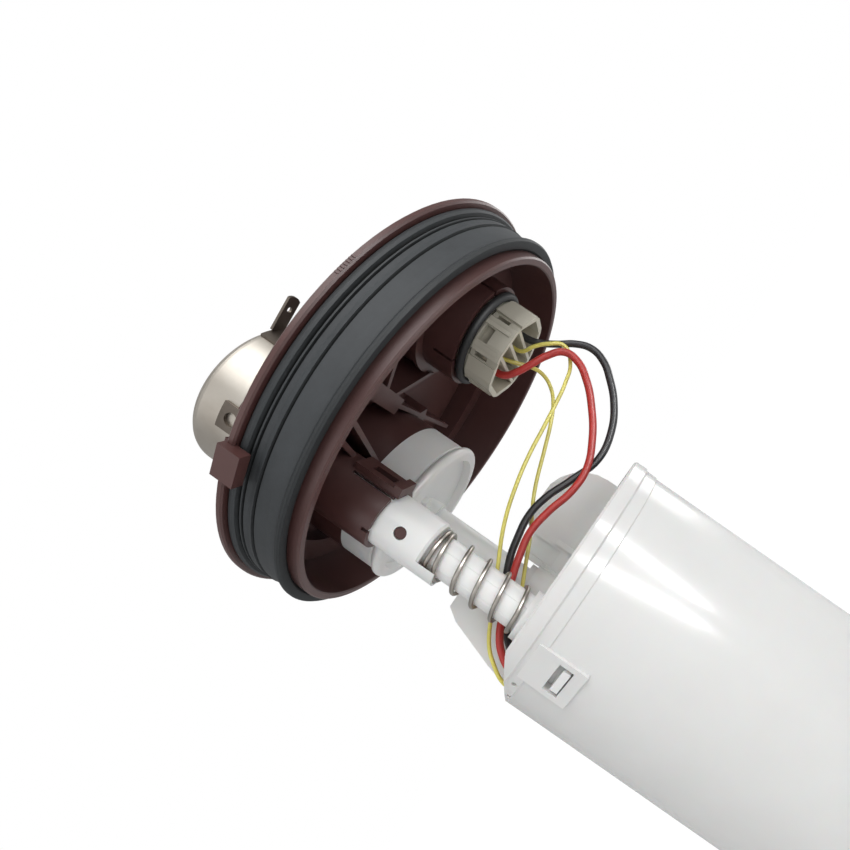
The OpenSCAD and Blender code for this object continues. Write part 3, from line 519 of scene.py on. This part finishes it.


# Each plastic's corner weight sets how much shade is painted into its corners.
WHITE = MouldedPlastic("white_plastic", (0.83, 0.83, 0.82), (0.46, 0.44, 0.42), 0.34, corner_shade=0.2, translucency=0.12)
POT_WHITE = MouldedPlastic("reservoir_plastic", (0.74, 0.74, 0.73), (0.5, 0.49, 0.47), 0.18, Texture.STREAKED, 0.0,
                           0.1)
BURGUNDY = MouldedPlastic("brown_plastic", (0.080, 0.032, 0.029), (0.02, 0.008, 0.007), 0.36, Texture.GRAINED, 0.5)
IVORY = MouldedPlastic("ivory_plastic", (0.58, 0.55, 0.46), (0.2, 0.19, 0.15), 0.42, Texture.SMOOTH, 0.5)
BLACK_PLASTIC = MouldedPlastic("black_plastic", (0.02, 0.02, 0.022), (0.01, 0.01, 0.01), 0.4, Texture.GRAINED)
GASKET = DustyRubber("gasket_rubber", (0.016, 0.019, 0.021), (0.072, 0.079, 0.086), darker_below=SKIRT_Z + 0.0047)
BLACK_RUBBER = DustyRubber("seal_rubber", (0.008, 0.009, 0.01), (0.05, 0.052, 0.055), 0.5, 0.4)
FOAM = DustyRubber("float_foam", (0.012, 0.012, 0.013), (0.04, 0.04, 0.042), 0.75, 0.5)
CAN_STEEL = DrawnMetal("can_steel", (0.54, 0.51, 0.46), (0.43, 0.39, 0.34), 0.4)
BRONZED = DrawnMetal("bronzed_steel", (0.20, 0.17, 0.145), (0.11, 0.095, 0.08), 0.38, (1.0, 0.2, 1.0))
SPRING_WIRE = DrawnMetal("spring_wire", (0.52, 0.49, 0.45), (0.30, 0.28, 0.25), 0.28, (1.0, 1.0, 1.0))
PLATED = DrawnMetal("plated_steel", (0.68, 0.68, 0.70), (0.55, 0.55, 0.56), 0.3)
FERRITE = DrawnMetal("ferrite", (0.10, 0.10, 0.11), (0.06, 0.06, 0.065), 0.6)
COPPER = DrawnMetal("copper", (0.72, 0.38, 0.22), (0.48, 0.25, 0.15), 0.32)
TINNED = DrawnMetal("tinned_brass", (0.72, 0.66, 0.50), (0.55, 0.50, 0.38), 0.3)
PAPER = Fibre("filter_paper", (0.72, 0.64, 0.44))
MESH = Fibre("strainer_mesh", (0.72, 0.72, 0.70), 0.0009)
CARD = MouldedPlastic("ceramic_card", (0.03, 0.12, 0.11), (0.01, 0.05, 0.05), 0.3)
RED = Insulation("red_insulation", (0.52, 0.038, 0.032))
BLACK = Insulation("black_insulation", (0.022, 0.022, 0.025))
YELLOW = Insulation("yellow_insulation", (0.84, 0.76, 0.17))


@dataclass
class Reservoir:
    """Round white pot with its pump carrier, inlet parts and jet."""

    def dress(self) -> None:
        """Gives the pot and what sits in it their finishes."""
        dress("reservoir_pot", POT_WHITE)
        dress("pump_carrier", WHITE)
        dress("inlet_strainer", MESH)
        dress("inlet_valve", BLACK_RUBBER)
        dress("jet_nozzle", BLACK_PLASTIC)


@dataclass
class PumpUnit:
    """Electric pump with its rotor, rubber mounts and plug."""

    def dress(self) -> None:
        """Gives the pump's nodes their finishes."""
        for node, finish in {
            "pump_isolator": BLACK_RUBBER, "pump_shell": PLATED, "pump_inlet_cover": PLATED,
            "pump_outlet_cap": BLACK_PLASTIC, "pump_magnets": FERRITE, "pump_brushes": FERRITE,
            "pump_plug": IVORY, "pump_shaft": PLATED, "pump_armature": COPPER,
            "pump_commutator": COPPER, "pump_impeller": BLACK_PLASTIC, "outlet_grommet": BLACK_RUBBER,
        }.items():
            dress(node, finish)


@dataclass
class LevelSender:
    """Level sender on the back of the reservoir, with its float."""

    def dress(self) -> None:
        """Gives the sender's nodes their finishes."""
        dress("sender_body", WHITE)
        dress("sender_card", CARD)
        dress("sender_wiper", IVORY)
        dress("float_arm", SPRING_WIRE)
        dress("float", FOAM)


@dataclass
class CoverFlange:
    """Burgundy cover flange with its gasket and the grip ribs on its edge."""

    disc_radius: float = 0.0648
    disc_low: float = 0.0172
    disc_high: float = 0.0190
    rib_angles: tuple[float, float] = (283.2, 287.6)
    rib_count: int = 7
    rib_depth: float = 0.00034
    rib_width: float = 0.00032
    rib_margin: float = 0.0008

    def build(self) -> None:
        """Models the short row of grip ribs on the disc's edge."""
        ribs: list[bpy.types.Object] = []
        first, last = self.rib_angles
        for k in range(self.rib_count):
            turn = math.radians(first + (last - first) * k / (self.rib_count - 1))
            nothing_selected()
            bpy.ops.mesh.primitive_cube_add(size=1.0)
            rib = bpy.context.object
            rib.scale = (self.rib_depth, self.rib_width, self.disc_high - self.disc_low - self.rib_margin)
            rib.rotation_euler = (0.0, 0.0, turn)
            rib.location = (FLANGE_AXIS[0] + self.disc_radius * math.cos(turn),
                            FLANGE_AXIS[1] + self.disc_radius * math.sin(turn),
                            SKIRT_Z + (self.disc_low + self.disc_high) / 2)
            ribs.append(settle(rib, f"grip_rib_{k}"))
        nothing_selected()
        for rib in ribs:
            rib.select_set(True)
        bpy.context.view_layer.objects.active = ribs[0]
        bpy.ops.object.join()
        grip = settle(bpy.context.object, "grip_ribs")
        put(grip, BURGUNDY)
        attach(grip, "flange")

    def dress(self) -> None:
        """Gives the flange and gasket their finishes."""
        for node in ("cover_flange", "column_socket", "connector_turret", "plug_shroud", "outlet_nipple"):
            dress(node, BURGUNDY)
        dress("flange_gasket", GASKET)


@dataclass
class Connector:
    """Ivory connector insert with its seal and blades."""

    def dress(self) -> None:
        """Gives the connector's nodes their finishes."""
        dress("turret_insert", IVORY)
        dress("turret_seal", BLACK_RUBBER)
        dress("contact_pins", TINNED)


@dataclass
class FilterPack:
    """Steel can, white cap and what the can holds."""

    def dress(self) -> None:
        """Gives the filter's nodes their finishes."""
        dress("filter_can", CAN_STEEL)
        dress("filter_cap", WHITE)
        dress("cap_seal", BLACK_RUBBER)
        dress("pressure_regulator", PLATED)
        dress("filter_element", PAPER)
        dress("earth_terminal", BRONZED)
        dress("can_clip", BRONZED)


@dataclass
class SprungColumn:
    """Column, delivery tube and the compression spring."""

    centre: Point = (-0.0116, -0.0271, 0.0)
    mean_radius: float = 0.0060
    wire_radius: float = 0.0006
    low: float = 0.1196
    high: float = 0.1474
    open_turns: float = 4.2
    low_turns: float = 0.5
    top_turns: float = 1.3
    turn_steps: int = 10
    closed_pitch: float = 1.05
    sides: int = 12
    smooth: int = 3

    def build(self) -> None:
        """Models the spring as a smooth helix with closed ends."""
        turns = self.open_turns + self.low_turns + self.top_turns
        rise = 2 * self.wire_radius * self.closed_pitch
        free = self.high - self.low - 2 * self.wire_radius - (self.low_turns + self.top_turns) * rise
        points: list[Point] = []
        for k in range(int(turns * self.turn_steps) + 1):
            turn = k / self.turn_steps
            low = min(turn, self.low_turns)
            middle = min(max(turn - self.low_turns, 0.0), self.open_turns)
            top = max(turn - self.low_turns - self.open_turns, 0.0)
            height = (low + top) * rise + free * middle / self.open_turns
            angle = 2 * math.pi * turn + math.pi / 2
            points.append((self.centre[0] + self.mean_radius * math.cos(angle),
                           self.centre[1] + self.mean_radius * math.sin(angle),
                           self.low + self.wire_radius + height))
        spring = rounded_tube("coil_spring", points, self.wire_radius, self.sides, self.smooth)
        put(spring, SPRING_WIRE)
        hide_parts("column_spring")
        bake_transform(spring)

    def dress(self) -> None:
        """Gives the column's nodes their finishes."""
        dress("spring_column", WHITE)
        dress("column_spring", SPRING_WIRE)
        dress("delivery_tube", WHITE)
        dress("delivery_seal", BLACK_RUBBER)


@dataclass
class Wiring:
    """Four wires that run from the connector into the reservoir."""

    thick: float = 0.0011
    thin: float = 0.0006
    red: list[Point] = field(default_factory=lambda: [
        (37.6, -9.6, 167.2), (37.9, -10.2, 163.6), (40.5, -11.5, 160.6), (44.5, -12.3, 158.2), (49, -12.6, 155.8),
        (52.6, -13, 152.2), (52.6, -13, 147.8), (49.5, -13.5, 142.5), (43.5, -13.5, 136.5), (36.5, -14, 131.5),
        (28.5, -14.3, 128), (21.5, -14.6, 127.8), (12.5, -15, 130), (5, -15.5, 130.8), (-1.5, -16, 129.5),
        (-8, -16.5, 127.5), (-16, -17, 124.5), (-22.5, -18.5, 121), (-25.6, -19.5, 117.5), (-27.5, -20, 113.6),
        (-29, -20.4, 110.6), (-29, -20.3, 107.5), (-28.5, -19, 103), (-25, -16, 100.2), (-18, -10.5, 98.5),
        (-8, -6.5, 98), (2, -4.8, 98), (10, -3.4, 98), (14.5, -2, 96.5), (15.5, -1.8, 93)])
    black: list[Point] = field(default_factory=lambda: [
        (50.8, -9.1, 167.2), (50.9, -9.2, 163.6), (51.8, -9.5, 160.4), (54.2, -9.8, 156), (57.2, -10, 151.5),
        (58.6, -10.2, 147), (57.4, -10.6, 142), (54, -11, 137.4), (48.8, -11, 132.4), (41.5, -11.3, 128.4),
        (33, -11.6, 127), (24, -12.2, 129.8), (15.5, -12.7, 133), (9, -13, 134), (2, -13.4, 133), (-5, -13.8, 131),
        (-13, -14.1, 126.5), (-23, -14.6, 118.4), (-27, -15, 111), (-28, -14.5, 105), (-26, -10, 100.5),
        (-16, -5, 101), (-8, -2.5, 101), (2, -0.5, 101), (10, 0, 100.5), (17.5, -1, 98), (19.5, -1.8, 93)])
    yellow_a: list[Point] = field(default_factory=lambda: [
        (46.4, -9.1, 167.2), (46.8, -9.5, 163.4), (49.5, -11.2, 160.8), (52.2, -12.3, 157.5), (54.5, -11.5, 153.5),
        (51.8, -10.6, 149.6), (45.5, -12.2, 147), (38.5, -14, 145.5), (31.5, -15, 144.4), (23, -16, 143.2),
        (14, -17, 141.2), (3.5, -17.5, 137.8), (-8, -18, 132), (-18, -18.2, 126.8), (-26, -18, 122),
        (-29, -18, 118.4), (-31.4, -17.5, 114.3), (-32, -16.5, 109.5), (-31.8, -14.5, 104), (-31, -9, 99),
        (-31, 3, 98), (-24, 20, 98), (-11, 32, 98.5), (-4.6, 36, 99.5), (-4.6, 40.1, 99.5)])
    yellow_b: list[Point] = field(default_factory=lambda: [
        (42, -9.1, 167.2), (43.2, -8.5, 163.2), (45, -7, 159.2), (45.3, -6.6, 155.4), (43, -7, 150.5),
        (39, -7.5, 147), (34.2, -8, 144.5), (28, -8.5, 142), (15, -9.5, 136.8), (4, -10.5, 130.5), (-6, -12, 125.5),
        (-15, -13.2, 120.5), (-22, -13.3, 114.5), (-23, -13.3, 108), (-23.2, -13.4, 104), (-24.8, -9.4, 96.4),
        (-28, 3, 95), (-22, 18, 94.5), (-5, 30.5, 96), (-2.8, 36.5, 99.2), (-2.8, 40.1, 99.5)])

    def build(self) -> None:
        """Models each wire as a smooth round tube along its route."""
        for name, route, radius, finish, slot in (
            ("wire_red", self.red, self.thick, RED, "wire_red"),
            ("wire_black", self.black, self.thick, BLACK, "wire_black"),
            ("wire_yellow_a", self.yellow_a, self.thin, YELLOW, "wire_yellow"),
            ("wire_yellow_b", self.yellow_b, self.thin, YELLOW, "wire_yellow"),
        ):
            dress(name, finish)
            lead = rounded_tube(f"{name}_lead", [tuple(MM * c for c in p) for p in route], radius)
            put(lead, finish)
            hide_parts(name)
            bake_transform(lead)


@dataclass
class Studio:
    """Camera, lights, floor and world."""

    place: Point = (0.0133, -0.15794, 0.11892)
    right: Point = (0.56812405, 0.03319392, -0.82227321)
    down: Point = (-0.82255474, 0.05359107, -0.56615518)
    ahead: Point = (0.02527359, 0.9980111, 0.0577502)
    lens: float = 36.0 * 520.0 / 850.0
    shift: tuple[float, float] = (-140.0 / 850.0, 80.0 / 850.0)
    target: Point = (0.012, 0.0, 0.135)
    ambient: float = 0.44
    floor_size: float = 6.0
    floor_drop: float = 0.0002
    floor_glow: float = 1.1
    floor_share: float = 0.88
    strip_width: float = 0.004
    strips: tuple[tuple, ...] = (
        ("glint_front", (81, -224, 103), (123, -194, 28.6), (10, -37.5, 98), 0.25),
        ("glint_side", (178, -153, 109), (162, -162, 34), (16.5, -35, 100), 0.25),
    )
    lamps: tuple[tuple, ...] = (
        ("key_light", (-0.25, 0.8, 0.75), 0.55, 0.45, 2.1),
        ("fill_light", (-0.7, -0.2, 0.7), 0.7, 0.5, 0.8),
        ("rim_light", (0.5, 0.7, -0.6), 0.6, 0.3, 0.8),
    )

    def camera(self) -> None:
        """Sets the camera at the photograph's place."""
        bpy.ops.object.camera_add()
        camera = bpy.context.object
        x, y, z = Vector(self.right), -Vector(self.down), -Vector(self.ahead)
        turn = Matrix((x, y, z)).transposed().to_4x4()
        camera.matrix_world = Matrix.Translation(self.place) @ turn
        camera.data.lens = self.lens
        camera.data.sensor_width = 36.0
        camera.data.shift_x, camera.data.shift_y = self.shift
        camera.data.clip_start, camera.data.clip_end = 0.002, 20.0
        bpy.context.scene.camera = camera

    def lamp(self, name: str, aim: tuple[float, float, float], distance: float, size: float, power: float) -> None:
        """Adds a soft square lamp.

        Args:
            name: name of the lamp.
            aim: direction from the object, as shares of image right, image up and towards the camera.
            distance: distance from the object in metres.
            size: side of the lamp in metres.
            power: power in watts.
        """
        way = aim[0] * Vector(self.right) - aim[1] * Vector(self.down) - aim[2] * Vector(self.ahead)
        way.normalize()
        bpy.ops.object.light_add(type="AREA", location=Vector(self.target) + way * distance)
        light = bpy.context.object
        light.name = name
        light.data.size = size
        light.data.energy = power
        light.rotation_mode = "QUATERNION"
        light.rotation_quaternion = way.to_track_quat("Z", "Y")

    def strip(self, name: str, start: Point, end: Point, aim: Point, power: float) -> None:
        """Adds a narrow lamp that shows only as a glint along the reservoir's wall.

        Args:
            name: name of the lamp.
            start: one end of the lamp, in millimetres in the row frame.
            end: its other end.
            aim: point that the lamp faces, in millimetres.
            power: power in watts.
        """
        low, high, target = (MM * Vector(p) for p in (start, end, aim))
        along = (high - low).normalized()
        back = ((low + high) / 2 - target).normalized()
        back = (back - along * back.dot(along)).normalized()
        bpy.ops.object.light_add(type="AREA", location=(low + high) / 2)
        light = bpy.context.object
        light.name = name
        light.data.shape = "RECTANGLE"
        light.data.size, light.data.size_y = self.strip_width, (high - low).length
        light.data.energy = power
        light.matrix_world = Matrix.Translation((low + high) / 2) @ Matrix(
            (along.cross(back), along, back)).transposed().to_4x4()
        light.visible_diffuse = False

    def world(self) -> None:
        """Makes the background white to the eye and a soft grey to the light."""
        world = bpy.data.worlds.new("studio")
        bpy.context.scene.world = world
        world.use_nodes = True
        tree = world.node_tree
        background = tree.nodes["Background"]
        path = tree.nodes.new("ShaderNodeLightPath")
        seen = tree.nodes.new("ShaderNodeMath")
        seen.operation = "MAXIMUM"
        tree.links.new(path.outputs["Is Camera Ray"], seen.inputs[0])
        tree.links.new(path.outputs["Is Transmission Ray"], seen.inputs[1])
        level = tree.nodes.new("ShaderNodeMapRange")
        level.inputs["To Min"].default_value = self.ambient
        level.inputs["To Max"].default_value = 1.0
        tree.links.new(seen.outputs["Value"], level.inputs["Value"])
        tree.links.new(level.outputs["Result"], background.inputs["Strength"])
        background.inputs["Color"].default_value = (1, 1, 1, 1)

    def floor(self) -> None:
        """Lays a pale floor that keeps the object's shadow."""
        nothing_selected()
        bpy.ops.mesh.primitive_plane_add(size=self.floor_size, location=(0, 0, -self.floor_drop))
        floor = settle(bpy.context.object, "studio_floor")
        material = bpy.data.materials.new("studio_floor")
        material.use_nodes = True
        tree = material.node_tree
        tree.nodes.clear()
        output = tree.nodes.new("ShaderNodeOutputMaterial")
        matt = tree.nodes.new("ShaderNodeBsdfDiffuse")
        matt.inputs["Color"].default_value = (0.9, 0.9, 0.9, 1)
        glow = tree.nodes.new("ShaderNodeEmission")
        glow.inputs["Color"].default_value = (1, 1, 1, 1)
        glow.inputs["Strength"].default_value = self.floor_glow
        path = tree.nodes.new("ShaderNodeLightPath")
        share = tree.nodes.new("ShaderNodeMath")
        share.operation = "MULTIPLY"
        share.inputs[1].default_value = self.floor_share
        mix = tree.nodes.new("ShaderNodeMixShader")
        tree.links.new(path.outputs["Is Camera Ray"], share.inputs[0])
        tree.links.new(share.outputs["Value"], mix.inputs["Fac"])
        tree.links.new(matt.outputs["BSDF"], mix.inputs[1])
        tree.links.new(glow.outputs["Emission"], mix.inputs[2])
        tree.links.new(mix.outputs["Shader"], output.inputs["Surface"])
        floor.data.materials.append(material)

    def build(self) -> None:
        """Sets up the whole studio."""
        self.camera()
        self.world()
        self.floor()
        for strip in self.strips:
            self.strip(*strip)
        for lamp in self.lamps:
            self.lamp(*lamp)


def main() -> None:
    """Builds and dresses every sub-assembly."""
    bpy.context.scene.view_settings.view_transform = "Standard"
    Studio().build()
    for part in (Wiring(), SprungColumn(), Reservoir(), PumpUnit(), LevelSender(), CoverFlange(), Connector(),
                 FilterPack()):
        if hasattr(part, "build"):
            part.build()
        if hasattr(part, "dress"):
            part.dress()
        log.info("%s ready", type(part).__name__)


if __name__ == "__main__":
    main()
